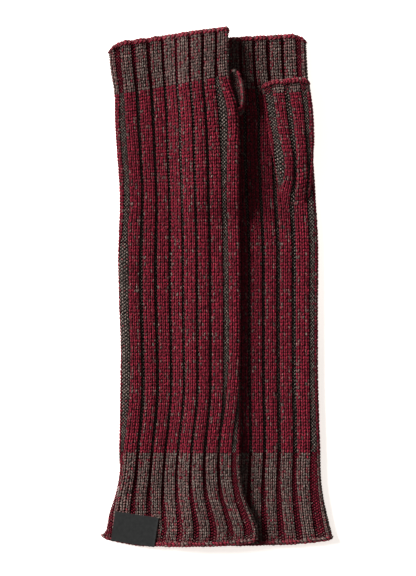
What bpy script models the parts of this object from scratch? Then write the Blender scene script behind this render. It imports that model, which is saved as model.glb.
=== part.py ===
"""Pair of knitted arm warmers, laid flat, the left one partly on the right one.

Metres, +Z up. X runs across the warmers, Y from the elbow to the fingers, and Z = 0 is the surface they lie on.
Each warmer is one knitted tube in ribs of three knit and two purl wales, pressed flat. Its stretches of one
colour are separate walls, and its thumb is a short tube of its own, over a hole in the arm.
"""

import math
from collections import namedtuple

import bmesh
import bpy
from mathutils import Vector

MM = 0.001

# Driving dimensions, in millimetres.
WALL = 1.6  # the knitted wall at the bottom of a trough
RIB_RISE = 1.5  # a rib's crest over its troughs
RIB_WIDTH = 8.4
LEAST_TROUGH = 1.2  # how far two ribs may close up
FOLD_RADIUS = 2.1  # a side fold between its ribs; twice this is the pressed tube's height
SEAM_GAP = 0.3
LAY_GAP = 0.3  # between two layers that lie on each other
RIM_REACH = 8.0  # how far in from a side fold the rim's rounded corner starts
HEM_REACH = 27.0

PANEL_TOP = 2 * FOLD_RADIUS + RIB_RISE
THUMB_HEIGHT = 2 * FOLD_RADIUS
LAID_ON = PANEL_TOP + LAY_GAP  # how high a layer lies on the right warmer
OVER_THUMB = THUMB_HEIGHT + LAY_GAP  # and how much more the left hand lies up on its own thumb

# The left warmer leaves the ground this far before the right warmer's side, and is up this far past it.
RAMP_BEFORE = 24.0
RAMP_PAST = 3.0
# Where the left warmer rises over its own thumb.
THUMB_RAMP_X = (-42.0, -11.0)
THUMB_RAMP_ELBOW = (45.0, 73.0)
THUMB_RAMP_FINGERS = (176.0, 206.0)

# One row for each section line across a warmer, from the elbow's hem to the fingers' rim. A line runs straight
# from the left side to the right side. left_turn and right_turn say how far to the right of the side fold's top
# the first and the last trough of the front lie. drift is how far the middle ribs have slid to the right, and
# wedge is how far the trough before the last rib is spread.
Section = namedtuple("Section", "left_x left_y right_x right_y left_turn right_turn drift wedge", defaults=(0.0,))

LEFT_SECTIONS = (
    Section(-86.8, -194.0, 31.0, -193.3, 2.6, -3.4, -1.0),
    Section(-84.0, -182.0, 31.0, -181.0, 2.2, -3.0, -0.9),
    Section(-80.5, -170.0, 27.0, -170.0, 1.2, -2.6, -0.7),
    Section(-75.5, -156.5, 21.0, -156.5, -1.0, -1.4, -0.7),
    Section(-72.8, -140.0, 18.4, -140.0, -1.5, -2.0, -0.7),
    Section(-72.8, -124.0, 18.0, -124.0, -0.8, -1.0, -0.5),
    Section(-72.8, -84.0, 17.8, -84.0, 0.0, 0.3, -0.4),
    Section(-71.8, -45.0, 18.0, -45.0, 0.2, 0.5, 0.0),
    Section(-73.5, -9.5, 18.0, -9.5, -0.4, 0.5, -0.6),
    Section(-74.0, 26.5, 18.0, 26.5, -0.4, 0.4, -0.4),
    Section(-73.5, 45.0, 17.8, 45.0, -0.2, 0.5, -1.0),
    Section(-73.2, 59.0, 17.6, 59.0, 0.0, 0.6, -1.8, 0.6),
    Section(-73.4, 73.5, 17.5, 73.5, 0.4, 0.8, -2.0, 1.0),
    Section(-74.6, 98.5, 17.3, 103.0, 1.1, 1.6, -1.7, 2.2),
    Section(-75.8, 124.0, 15.4, 134.5, 1.2, 4.4, -0.7, 5.5),
    Section(-76.7, 144.5, 9.8, 158.5, 1.6, 3.4, 1.0, 1.5),
    Section(-80.5, 169.0, 8.6, 182.5, 2.0, 3.6, 1.9),
    Section(-81.4, 182.2, 8.6, 195.8, 2.0, 3.6, 1.9),
)
RIGHT_SECTIONS = (
    Section(-25.5, -194.0, 86.8, -192.0, 2.0, -3.6, -1.1),
    Section(-21.8, -171.5, 81.8, -171.5, 1.0, -3.2, -1.1),
    Section(-18.8, -158.0, 79.1, -158.0, 0.0, -2.2, -1.3),
    Section(-16.5, -141.5, 77.6, -141.5, 0.0, -1.5, -1.5),
    Section(-15.0, -124.0, 76.9, -124.0, 0.0, -0.8, -1.5),
    Section(-15.4, -72.5, 75.2, -72.5, 0.0, 0.0, -1.5),
    Section(-15.8, -9.5, 75.0, -9.5, 0.0, 0.0, -1.5),
    Section(-15.8, 35.5, 75.0, 35.5, 0.0, 0.0, -1.8),
    Section(-16.5, 71.5, 73.5, 71.5, 0.0, 0.0, -2.4),
    Section(-17.3, 103.0, 72.2, 103.0, 0.0, 0.0, -2.0),
    Section(-18.8, 131.5, 72.0, 131.5, 0.0, 0.0, -1.4),
    Section(-20.3, 149.0, 69.4, 149.5, 0.0, 0.0, -1.1),
    Section(-21.8, 169.0, 66.8, 173.5, 0.0, 0.0, -1.1),
    Section(-21.8, 185.0, 66.8, 190.8, 0.0, 0.0, -1.1),
)
# The rows where the yarn changes colour: the arm runs from one to the other.
Seams = namedtuple("Seams", "elbow fingers")
LEFT_SEAMS = Seams(5, 15)
RIGHT_SEAMS = Seams(4, 11)
# How the front's width is shared between its eight ribs, from the left.
LEFT_RIB_SHARES = (16.5, 14.5, 13.5, 13.0, 14.0, 13.5, 14.5, 14.5)
RIGHT_RIB_SHARES = (12.0, 12.5, 12.5, 13.0, 14.0, 15.0, 16.0, 17.0)
# How far a rounded corner falls short of the straight rim or hem.
Corners = namedtuple("Corners", "hem_left hem_right rim_left rim_right")
LEFT_CORNERS = Corners(6.8, 4.0, 8.0, 6.0)
RIGHT_CORNERS = Corners(4.0, 3.6, 5.0, 9.5)
# How many points shape the underside: the left one's is draped, the right one's is flat.
LEFT_UNDER_POINTS = 12
RIGHT_UNDER_POINTS = 4

# A rib's cross-section: where its points lie across its width, and how high.
RibPoint = namedtuple("RibPoint", "across rise")
RIB_PROFILE = (RibPoint(0.05, 0.62), RibPoint(0.28, 1.0), RibPoint(0.72, 1.0), RibPoint(0.95, 0.62))
# The rib that a side fold bends along, from its trough to the underside.
FOLD_RIB_PROFILE = (
    RibPoint(0.24, 0.1),
    RibPoint(0.38, 0.8),
    RibPoint(0.55, 1.0),
    RibPoint(0.74, 0.9),
    RibPoint(0.9, 0.4),
)
END_TROUGH_SHARE = 2.5  # the troughs beside the folds lie this much more open than the others
TROUGH_FOOT = 0.8  # how far towards the rib an open trough's bottom reaches
FOOT_RISE = 0.05

# A thumb is a bent tube. Each row is one ring: its centre, its long half-axis across the flat tube, and its short
# half-axis, which points to the thumb's outer wall: the one that starts nearest the elbow. The outer wall has half
# a rib, two ribs and half a rib, and the last six columns say where they end and start, across the ring from -1
# to 1.
Ring = namedtuple("Ring", "x y z long_x long_y short_x short_y short_z half_end one two three four half_start")
RIGHT_THUMB_BASE = 2 * FOLD_RADIUS - WALL  # level with the front panel's inside
RIGHT_THUMB_RINGS = (
    Ring(56.9, 82.4, 2.5, 11.9, 0.0, 0.0, -20.5, -0.9, -0.96, -0.87, -0.15, 0.13, 0.83, 0.95),
    Ring(56.9, 85.6, 3.2, 11.9, 0.0, 0.0, -17.6, -0.3, -0.96, -0.86, -0.14, 0.13, 0.85, 0.95),
    Ring(56.9, 89.4, 4.0, 12.6, 0.0, 0.0, -14.2, 0.5, -0.95, -0.7, -0.03, 0.13, 0.86, 0.95),
    Ring(56.9, 93.4, 4.7, 13.6, 0.0, 0.0, -10.5, 1.2, -0.93, -0.49, 0.05, 0.17, 0.83, 0.94),
    Ring(56.8, 97.4, 5.2, 14.6, 0.0, 0.0, -6.8, 1.7, -0.92, -0.43, 0.04, 0.17, 0.76, 0.92),
    Ring(56.8, 101.2, 5.5, 15.4, 0.0, 0.0, -3.3, 2.0, -0.91, -0.43, 0.03, 0.16, 0.7, 0.87),
    Ring(56.7, 104.8, 5.5, 15.9, 0.0, 0.0, 0.0, 2.1, -0.9, -0.48, -0.03, 0.16, 0.65, 0.8),
    Ring(54.4, 131.0, 5.5, 17.6, 0.5, 0.0, 0.0, 2.1, -0.85, -0.58, -0.11, 0.17, 0.62, 0.88),
    Ring(51.2, 155.0, 5.5, 17.6, 1.5, 0.0, 0.0, 2.1, -0.78, -0.52, -0.1, 0.12, 0.59, 0.8),
)
LEFT_THUMB_BASE = LAID_ON
LEFT_THUMB_RINGS = (
    Ring(1.9, 90.8, 4.35, 11.5, 0.0, 0.0, -13.9, 0.15, -0.96, -0.87, -0.15, 0.13, 0.83, 0.95),
    Ring(1.9, 91.3, 4.0, 12.0, 0.0, 0.0, -13.5, -0.2, -0.96, -0.86, -0.14, 0.13, 0.85, 0.95),
    Ring(1.6, 93.7, 3.45, 12.6, 0.0, 0.0, -11.2, -0.75, -0.93, -0.7, -0.1, 0.13, 0.8, 0.94),
    Ring(1.2, 98.6, 2.5, 13.2, 0.0, 0.0, -6.6, -1.7, -0.9, -0.6, -0.1, 0.13, 0.7, 0.92),
    Ring(0.8, 102.8, 2.15, 13.6, 0.0, 0.0, -2.8, -2.05, -0.88, -0.55, -0.1, 0.13, 0.65, 0.9),
    Ring(0.5, 107.0, 2.1, 13.8, 0.0, 0.0, 0.0, -2.1, -0.86, -0.52, -0.1, 0.13, 0.6, 0.88),
    Ring(3.0, 124.0, 2.1, 12.0, -1.5, 0.0, 0.0, -2.1, -0.82, -0.5, -0.1, 0.13, 0.58, 0.85),
    Ring(6.0, 135.5, 2.1, 10.1, -8.3, 1.2, 0.9, -2.1, -0.8, -0.5, -0.1, 0.12, 0.58, 0.82),
    Ring(10.4, 142.5, 2.15, 7.1, -13.1, 3.4, 0.5, -2.05, -0.78, -0.5, -0.1, 0.12, 0.58, 0.8),
    Ring(14.6, 147.5, 2.2, 4.2, -15.6, 5.0, 0.3, -2.0, -0.78, -0.5, -0.1, 0.12, 0.58, 0.8),
)
THUMB_SQUARENESS = 2.6  # the power of the rings' outline: 2 is an ellipse, more is fuller at its corners
SIDE_OF_RING = 0.995  # the outer wall's outermost points, which the palm's wall goes on from
HALF_RIB_PROFILE = (RibPoint(0.0, 1.0), RibPoint(0.6, 0.7), RibPoint(1.0, 0.0))
HALF_RIB_WIDTH = 0.15  # a half rib narrower than this, across the ring, is lower too
WHOLE_RIB_PROFILE = (
    RibPoint(0.0, 0.0),
    RibPoint(0.06, 0.75),
    RibPoint(0.25, 1.0),
    RibPoint(0.75, 1.0),
    RibPoint(0.94, 0.75),
    RibPoint(1.0, 0.0),
)
THUMB_PALM_POINTS = 8  # the thumb's other wall is plain, pressed between two layers
HOLE_SIDES = 28

# The label, flat on the left cuff.
LABEL_LENGTH = 32.8
LABEL_HEIGHT = 22.2
LABEL_THICKNESS = 1.0
LABEL_CENTRE = (-61.7, -181.2)
LABEL_TURN = math.radians(-8.7)
LABEL_STEPS = (6, 2)

CRIMSON = (0.19, 0.02, 0.04)
GREY_HEATHER = (0.13, 0.11, 0.10)
LABEL_BLACK = (0.025, 0.026, 0.025)
CLOTH_ROUGHNESS = 0.95
LABEL_ROUGHNESS = 0.8


def clear_scene():
    for thing in list(bpy.data.objects):
        bpy.data.objects.remove(thing, do_unlink=True)


def make_material(name, colour, roughness):
    material = bpy.data.materials.new(name)
    material.use_nodes = True
    shader = material.node_tree.nodes["Principled BSDF"]
    shader.inputs["Base Color"].default_value = (*colour, 1.0)
    shader.inputs["Roughness"].default_value = roughness
    shader.inputs["Metallic"].default_value = 0.0
    material.diffuse_color = (*colour, 1.0)
    return material


def make_collection(name):
    collection = bpy.data.collections.new(name)
    bpy.context.scene.collection.children.link(collection)
    return collection


def mix(a, b, share):
    return a + (b - a) * share


def smooth_step(value, start, end):
    """0 before start, 1 past end, and an even S-curve between them."""
    t = min(max((value - start) / (end - start), 0.0), 1.0)
    return t * t * (3.0 - 2.0 * t)


def side_of_right_warmer(y):
    """The left side of the right warmer at one height, which the left warmer climbs."""
    rows = RIGHT_SECTIONS
    if y <= rows[0].left_y:
        return rows[0].left_x
    for low, high in zip(rows, rows[1:]):
        if y <= high.left_y:
            return mix(low.left_x, high.left_x, (y - low.left_y) / (high.left_y - low.left_y))
    return rows[-1].left_x


def left_lift(x, y):
    """How high the left warmer lies: up over the right warmer's side, and up again over its own thumb."""
    side = side_of_right_warmer(y)
    over_right = smooth_step(x, side - RAMP_BEFORE, side + RAMP_PAST)
    beside_thumb = smooth_step(x, *THUMB_RAMP_X)
    along_thumb = smooth_step(y, *THUMB_RAMP_ELBOW) * (1.0 - smooth_step(y, *THUMB_RAMP_FINGERS))
    return LAID_ON * over_right + OVER_THUMB * beside_thumb * along_thumb


def no_lift(x, y):
    return 0.0


def path_point(section, along):
    """A place on the pressed tube's outline, by its distance to the right of the left fold's top.

    Gives the place between the two sides, the height, and the outline's outward direction, across and up.
    """
    fold = FOLD_RADIUS + RIB_RISE
    left, right = section.left_x + fold, section.right_x - fold
    flat, arc = right - left, math.pi * FOLD_RADIUS
    along %= 2 * (flat + arc)
    if along <= flat:
        return left + along, 2 * FOLD_RADIUS, 0.0, 1.0
    if flat + arc <= along <= 2 * flat + arc:
        return right - (along - flat - arc), 0.0, 0.0, -1.0
    middle, start, first_angle = right, flat, math.pi / 2
    if along > 2 * flat + arc:
        middle, start, first_angle = left, 2 * flat + arc, -math.pi / 2
    angle = first_angle - (along - start) / FOLD_RADIUS
    across, up = math.cos(angle), math.sin(angle)
    return middle + FOLD_RADIUS * across, FOLD_RADIUS * (1 + up), across, up


def ring_stations(section, rib_shares, under_points):
    """The distances along a section's outline where its points lie, and each point's share of the rib's rise."""
    fold = FOLD_RADIUS + RIB_RISE
    flat, arc = section.right_x - section.left_x - 2 * fold, math.pi * FOLD_RADIUS
    first, last = section.left_turn, flat + section.right_turn
    spread = last - first - section.wedge
    last_rib = len(rib_shares) - 1
    shares = [sum(rib_shares[:index]) / sum(rib_shares) for index in range(len(rib_shares) + 1)]
    troughs = [first + spread * share + section.drift * math.sin(math.pi * share) for share in shares]
    stations = []
    for index, trough in enumerate(troughs[:-1]):
        pitch = troughs[index + 1] - trough
        width = min(RIB_WIDTH, pitch - LEAST_TROUGH)
        before = END_TROUGH_SHARE if index == 0 else 1.0
        after = END_TROUGH_SHARE if index == last_rib else 1.0
        start = trough + (pitch - width) * before / (before + after)
        stations.append((trough, 0.0))
        if index == last_rib:
            pitch += section.wedge
            start += section.wedge
        if index in (0, last_rib):
            stations.append((mix(trough, start, TROUGH_FOOT), FOOT_RISE))
        stations += [(start + width * point.across, point.rise) for point in RIB_PROFILE]
        if index == last_rib:
            stations.append((mix(trough + pitch, start + width, TROUGH_FOOT), FOOT_RISE))
    stations.append((last, 0.0))
    underside = flat + arc
    stations += [(mix(last, underside, point.across), point.rise) for point in FOLD_RIB_PROFILE]
    stations += [(underside + flat * step / (under_points - 1), 0.0) for step in range(under_points)]
    left_fold, left_trough = 2 * flat + arc, 2 * (flat + arc) + first
    stations += [(mix(left_trough, left_fold, p.across), p.rise) for p in reversed(FOLD_RIB_PROFILE)]
    return stations


def section_rings(section, rib_shares, under_points, lift, corner, shift_y=0.0):
    """The outer ring of one section's wall, with its ribs, and the plain inner one."""
    outer, inner = [], []
    width = section.right_x - section.left_x
    for along, rise in ring_stations(section, rib_shares, under_points):
        x, height, across, up = path_point(section, along)
        raised = rise * RIB_RISE
        if up < 0.0:  # the surface below presses a fold's rib flat
            raised = min(raised, FOLD_RADIUS / -up - FOLD_RADIUS)
        y = mix(section.left_y, section.right_y, (x - section.left_x) / width) + shift_y
        y += corner(x - section.left_x, section.right_x - x)
        point = Vector((x, y, height + lift(x, y)))
        outward = Vector((across, 0.0, up))
        outer.append(point + outward * raised)
        inner.append(point - outward * WALL)
    return outer, inner


def straight(from_left, from_right):
    return 0.0


def rounded(left_drop, right_drop, reach, towards):
    """How far a rounded corner moves a rim's or a hem's points back along the tube."""

    def drop(from_left, from_right):
        left = left_drop * max(0.0, 1.0 - from_left / reach) ** 2
        right = right_drop * max(0.0, 1.0 - from_right / reach) ** 2
        return towards * (left + right)

    return drop


def wall_object(name, outer, inner, material, collection):
    """Closes a tube's outer and inner rings into one wall, with a rim at each end."""
    bm = bmesh.new()
    skins = [[[bm.verts.new(point * MM) for point in ring] for ring in rings] for rings in (outer, inner)]
    count = len(outer[0])

    def bridge(a, b):
        for i in range(count):
            j = (i + 1) % count
            bm.faces.new((a[i], a[j], b[j], b[i]))

    for skin in skins:
        for a, b in zip(skin, skin[1:]):
            bridge(a, b)
    for end in (0, -1):
        bridge(skins[0][end], skins[1][end])
    bmesh.ops.recalc_face_normals(bm, faces=bm.faces)
    mesh = bpy.data.meshes.new(name)
    bm.to_mesh(mesh)
    bm.free()
    mesh.materials.append(material)
    thing = bpy.data.objects.new(name, mesh)
    collection.objects.link(thing)
    return thing


def build_warmer(side, sections, seams, rib_shares, corners, under_points, lift, materials, collection):
    """The elbow cuff, the arm and the hand band of one warmer, cut from one tube with gaps at the seams."""
    last = len(sections) - 1
    rows, stretches, stretch = [], [], []
    for index, section in enumerate(sections):
        corner = straight
        if index == 0:
            corner = rounded(corners.hem_left, corners.hem_right, HEM_REACH, 1.0)
        if index == last:
            corner = rounded(corners.rim_left, corners.rim_right, RIM_REACH, -1.0)
        shifts = (-SEAM_GAP / 2, SEAM_GAP / 2) if index in seams else (0.0,)
        for shift in shifts:
            if shift > 0.0:
                stretches.append(stretch)
                stretch = []
            stretch.append(len(rows))
            rows.append(section_rings(section, rib_shares, under_points, lift, corner, shift))
    stretches.append(stretch)
    built = {}
    for name, numbers in zip(("elbow_cuff", "arm", "hand_band"), stretches):
        outer, inner = zip(*[rows[number] for number in numbers])
        material = materials["crimson" if name == "arm" else "grey"]
        built[name] = wall_object(f"{side}_{name}", outer, inner, material, collection)
    return built


def outline_depth(across):
    """How deep a thumb ring's rounded outline is at a place across it, as a share of its short half-axis."""
    return (1.0 - abs(across) ** THUMB_SQUARENESS) ** (1.0 / THUMB_SQUARENESS)


def thumb_stations(ring):
    """The places across a thumb's outer wall where its points lie, and their shares of a rib's rise."""

    def half_rib(side, trough):
        height = min(1.0, (1.0 - abs(trough)) / HALF_RIB_WIDTH)
        return [(mix(side, trough, point.across), point.rise * height) for point in HALF_RIB_PROFILE]

    stations = half_rib(-SIDE_OF_RING, ring.half_end)
    for start, end in ((ring.one, ring.two), (ring.three, ring.four)):
        stations += [(mix(start, end, point.across), point.rise) for point in WHOLE_RIB_PROFILE]
    return stations + half_rib(SIDE_OF_RING, ring.half_start)[::-1]


def thumb_rings(ring, base_z, up, rib_rise):
    """The outer and the inner ring of a thumb's wall. up is 1 where its outer wall is the upper one, or else -1."""
    centre = Vector((ring.x, ring.y, ring.z + base_z))
    long_axis = Vector((ring.long_x, ring.long_y, 0.0))
    short_axis = Vector((ring.short_x, ring.short_y, ring.short_z))
    bore_axis = long_axis - long_axis.normalized() * WALL
    stations = [(across, 1.0, rise) for across, rise in thumb_stations(ring)]
    angles = [math.pi * (step + 0.5) / THUMB_PALM_POINTS for step in range(THUMB_PALM_POINTS)]
    stations += [(math.cos(angle), -1.0, 0.0) for angle in angles]
    outer, inner = [], []
    for across, side, rise in stations:
        depth = outline_depth(across) * side
        thickness = Vector((0.0, 0.0, WALL * depth * up))
        outer.append(centre + long_axis * across + short_axis * depth + Vector((0.0, 0.0, rise * rib_rise)))
        inner.append(centre + bore_axis * across + short_axis * depth - thickness)
    return outer, inner


def build_thumb(name, rings, base_z, up, rib_rise, material, collection):
    outer, inner = zip(*[thumb_rings(ring, base_z, up, rib_rise) for ring in rings])
    return wall_object(name, outer, inner, material, collection)


def cut_thumb_hole(arm, ring, low, high, cutters):
    """Cuts the hole that the thumb leaves by, through one panel only, between the heights low and high.

    It has the outline of the thumb's first ring, with a seam's gap all round.
    """
    long_axis = Vector((ring.long_x + SEAM_GAP, 0.0, 0.0))
    short_axis = Vector((0.0, ring.short_y - SEAM_GAP, 0.0))
    centre = Vector((ring.x, ring.y, low))
    bm = bmesh.new()
    outline = []
    for step in range(HOLE_SIDES):
        angle = 2 * math.pi * (step + 0.5) / HOLE_SIDES
        depth = math.copysign(outline_depth(math.cos(angle)), math.sin(angle))
        point = centre + long_axis * math.cos(angle) + short_axis * depth
        outline.append(bm.verts.new(point * MM))
    floor = bm.faces.new(outline)
    lifted = bmesh.ops.extrude_face_region(bm, geom=[floor])
    top = [piece for piece in lifted["geom"] if isinstance(piece, bmesh.types.BMVert)]
    bmesh.ops.translate(bm, vec=(0.0, 0.0, (high - low) * MM), verts=top)
    bmesh.ops.recalc_face_normals(bm, faces=bm.faces)
    mesh = bpy.data.meshes.new(arm.name + "_thumb_hole")
    bm.to_mesh(mesh)
    bm.free()
    cutter = bpy.data.objects.new(mesh.name, mesh)
    cutter.hide_render = True
    cutter.display_type = "WIRE"
    cutters.objects.link(cutter)
    cut = arm.modifiers.new("thumb_hole", "BOOLEAN")
    cut.operation = "DIFFERENCE"
    cut.object = cutter


def build_label(material, collection):
    """A flat woven label, laid on the crests of the left cuff's ribs and following their height."""
    bm = bmesh.new()
    across, along = LABEL_STEPS
    bmesh.ops.create_grid(bm, x_segments=across, y_segments=along, size=0.5)
    cos, sin = math.cos(LABEL_TURN), math.sin(LABEL_TURN)
    for vert in bm.verts:
        x, y = vert.co.x * LABEL_LENGTH, vert.co.y * LABEL_HEIGHT
        x, y = LABEL_CENTRE[0] + x * cos - y * sin, LABEL_CENTRE[1] + x * sin + y * cos
        vert.co = Vector((x, y, PANEL_TOP + LAY_GAP + left_lift(x, y))) * MM
    sheet = list(bm.faces)
    lifted = bmesh.ops.extrude_face_region(bm, geom=sheet)
    top = [piece for piece in lifted["geom"] if isinstance(piece, bmesh.types.BMVert)]
    bmesh.ops.translate(bm, vec=(0.0, 0.0, LABEL_THICKNESS * MM), verts=top)
    bmesh.ops.recalc_face_normals(bm, faces=bm.faces)
    mesh = bpy.data.meshes.new("label")
    bm.to_mesh(mesh)
    bm.free()
    mesh.materials.append(material)
    label = bpy.data.objects.new("label", mesh)
    collection.objects.link(label)


def main():
    clear_scene()
    parts = make_collection("knitted_arm_warmers")
    cutters = make_collection("cutters")
    materials = {
        "crimson": make_material("crimson_rib", CRIMSON, CLOTH_ROUGHNESS),
        "grey": make_material("grey_heather_rib", GREY_HEATHER, CLOTH_ROUGHNESS),
        "label": make_material("black_woven_label", LABEL_BLACK, LABEL_ROUGHNESS),
    }
    left = build_warmer(
        "left",
        LEFT_SECTIONS,
        LEFT_SEAMS,
        LEFT_RIB_SHARES,
        LEFT_CORNERS,
        LEFT_UNDER_POINTS,
        left_lift,
        materials,
        parts,
    )
    right = build_warmer(
        "right",
        RIGHT_SECTIONS,
        RIGHT_SEAMS,
        RIGHT_RIB_SHARES,
        RIGHT_CORNERS,
        RIGHT_UNDER_POINTS,
        no_lift,
        materials,
        parts,
    )
    build_thumb("left_thumb", LEFT_THUMB_RINGS, LEFT_THUMB_BASE, -1, 0.0, materials["crimson"], parts)
    build_thumb("right_thumb", RIGHT_THUMB_RINGS, RIGHT_THUMB_BASE, 1, RIB_RISE, materials["crimson"], parts)
    palm_side = LAID_ON + OVER_THUMB
    cut_thumb_hole(left["arm"], LEFT_THUMB_RINGS[0], LAID_ON, palm_side + FOLD_RADIUS, cutters)
    cut_thumb_hole(right["arm"], RIGHT_THUMB_RINGS[0], FOLD_RADIUS, PANEL_TOP + RIB_RISE, cutters)
    build_label(materials["label"], parts)


main()
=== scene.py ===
"""The looks of a pair of knitted arm warmers, laid flat, the left one partly on the right one.

Each warmer is a plain cloth wall with its stitches on it. A surface grid gives the knitted tube's shape:
wales count round the tube and courses count along it, and every stitch is laid on that grid. Tables are in
millimetres, as in the part, and meshes are in metres.
"""

import math
from collections import namedtuple

import bmesh
import bpy
import numpy as np
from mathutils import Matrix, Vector

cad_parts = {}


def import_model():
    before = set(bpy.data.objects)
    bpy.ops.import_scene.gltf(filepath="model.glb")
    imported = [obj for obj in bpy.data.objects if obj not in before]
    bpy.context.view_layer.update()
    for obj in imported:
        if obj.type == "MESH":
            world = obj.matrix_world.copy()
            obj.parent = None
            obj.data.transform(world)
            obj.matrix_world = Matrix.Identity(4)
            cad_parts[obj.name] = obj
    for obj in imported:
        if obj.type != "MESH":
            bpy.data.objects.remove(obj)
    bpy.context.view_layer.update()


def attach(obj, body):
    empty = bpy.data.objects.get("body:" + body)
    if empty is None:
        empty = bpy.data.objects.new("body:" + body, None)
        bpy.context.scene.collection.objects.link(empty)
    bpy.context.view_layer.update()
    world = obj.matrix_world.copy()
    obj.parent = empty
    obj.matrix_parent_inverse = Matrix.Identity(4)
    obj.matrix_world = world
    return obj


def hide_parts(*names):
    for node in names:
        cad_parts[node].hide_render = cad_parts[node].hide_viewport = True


MM = 0.001

# The part's own sizes. Some are changed a little here, for the finer look.
WALL = 1.6
RIB_RISE = 1.5
RIB_WIDTHS = (8.4, 8.4, 9.2, 9.2, 8.5)
RIB_WIDTH_COURSES = (0, 14, 28, 142, 158)
LEAST_TROUGH = 1.25
FOLD_RADIUS = 2.1
SEAM_GAP = 0.3
LAY_GAP = 0.3
RIM_REACH = 10.0
HEM_REACH = 36.0
HEM_CORNER_SHARE = 0.5
RIB_SCALLOP = 0.8  # how far the ribs' ends stand past the troughs' at the rim
PANEL_TOP = 2 * FOLD_RADIUS + RIB_RISE
THUMB_HEIGHT = 2 * FOLD_RADIUS
LAID_ON = PANEL_TOP + LAY_GAP
THUMB_LOFT = 2.0  # the left thumb is this much fuller than the part's
OVER_THUMB = THUMB_HEIGHT + THUMB_LOFT + LAY_GAP
RAMP_BEFORE = 24.0
RAMP_PAST = 3.0
THUMB_RAMP_X = (-42.0, -11.0)
THUMB_RAMP_ELBOW = (45.0, 73.0)
THUMB_RAMP_FINGERS = (176.0, 206.0)
END_TROUGH_SHARE = 2.5
FOLD_RIB_START = 0.24  # a side fold's rib starts and ends here, between its trough and the underside
FOLD_RIB_END = 0.95
FOLD_RIB_RISE = 0.7

Section = namedtuple(
    "Section",
    "left_x left_y right_x right_y left_turn right_turn drift wedge left_open first_wide right_open last_wide",
    defaults=(0.0, 0.0, 0.0, 0.0, 0.0),
)
LEFT_SECTIONS = (
    Section(-87.8, -194.0, 31.0, -193.3, 2.6, -3.6, -1.0, 0.0, 5.0, 3.0),
    Section(-84.0, -182.0, 31.0, -181.0, 2.2, -3.4, -1.2, 0.0, 5.0, 5.0),
    Section(-81.6, -170.0, 27.0, -170.0, 1.2, -3.0, -1.1, 0.0, 4.0, 5.0),
    Section(-77.2, -156.5, 21.0, -156.5, -1.6, -1.8, -0.9, 0.0, 2.4, 3.2),
    Section(-74.0, -140.0, 18.4, -140.0, -2.0, -2.2, -0.9, 0.0, 1.6, 1.6),
    Section(-73.9, -124.0, 18.0, -124.0, -0.8, -2.2, -0.2, 0.0, 0.0, 1.5),
    Section(-73.2, -84.0, 17.8, -84.0, 1.4, 2.1, 1.2, 1.2, 1.8, 0.2),
    Section(-72.8, -45.0, 18.0, -45.0, 0.8, 4.3, 1.2, 3.0, 2.2, -0.7),
    Section(-74.1, -9.5, 18.0, -9.5, 0.8, 4.3, 1.2, 2.8, 2.2, -0.7),
    Section(-74.6, 26.5, 18.0, 26.5, 1.2, 4.0, 1.2, 2.8, 2.0, -0.7),
    Section(-74.0, 45.0, 17.8, 45.0, 1.8, 3.8, 0.5, 2.6, 0.0, 0.8),
    Section(-73.5, 59.0, 17.6, 59.0, 2.2, 3.6, 0.0, 2.8),
    Section(-73.7, 73.5, 17.5, 73.5, 2.6, 3.4, -0.4, 2.6),
    Section(-75.4, 98.5, 17.3, 103.0, 2.8, 4.0, -0.4, 3.4),
    Section(-77.0, 124.0, 15.4, 134.5, 2.0, 5.0, 1.6, 5.5, -0.6),
    Section(-77.5, 144.5, 10.3, 158.5, 1.6, 3.6, 1.6, 1.5, -1.6),
    Section(-81.1, 169.0, 9.6, 182.5, 2.0, 3.6, 1.9, 0.0, -2.0),
    Section(-81.9, 182.2, 9.9, 194.4, 2.0, 3.6, 1.9, 0.0, -2.0),
)
RIGHT_SECTIONS = (
    Section(-25.5, -194.0, 87.5, -192.0, 2.0, -3.6, -1.1),
    Section(-21.8, -171.5, 83.2, -171.5, 1.0, -3.2, -1.1),
    Section(-18.8, -158.0, 80.4, -158.0, 0.0, -2.2, -1.3),
    Section(-16.5, -141.5, 78.4, -141.5, 0.0, -1.5, -1.5),
    Section(-15.0, -124.0, 78.0, -124.0, 0.0, -0.8, -1.5, right_open=-0.6),
    Section(-15.4, -72.5, 76.4, -72.5, 0.0, 0.0, -1.5, right_open=-1.4),
    Section(-15.8, -9.5, 76.2, -9.5, 0.0, 0.0, -1.5, right_open=-1.4),
    Section(-15.8, 35.5, 76.2, 35.5, 0.0, 0.0, -1.8, right_open=-1.2),
    Section(-16.5, 71.5, 74.3, 71.5, 0.0, 0.0, -2.4, 0.0, 0.0, 0.0, -0.4, 0.2),
    Section(-16.9, 88.0, 73.3, 88.0, 0.0, 0.0, -2.2, 0.0, 0.0, 0.0, -2.2, 0.8),
    Section(-17.3, 103.0, 72.2, 103.0, 0.0, 0.0, -2.0, 0.0, 0.0, 0.0, -2.4, 0.8),
    Section(-18.8, 131.5, 72.0, 131.5, 0.0, 0.0, -1.4),
    Section(-20.3, 149.0, 69.4, 149.5, 0.0, -1.0, -1.1, -1.0, 0.0, 0.0, -2.4, -0.4),
    Section(-21.8, 169.0, 67.8, 173.2, 0.0, -1.0, -1.1, -1.0, 0.0, 0.0, -2.4, -0.6),
    Section(-21.8, 184.6, 67.4, 189.6, 0.0, -1.0, -1.1, -1.0, 0.0, 0.0, -2.4, -0.6),
)
Corners = namedtuple("Corners", "hem_left hem_right rim_left rim_right left_radius right_radius")

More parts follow.
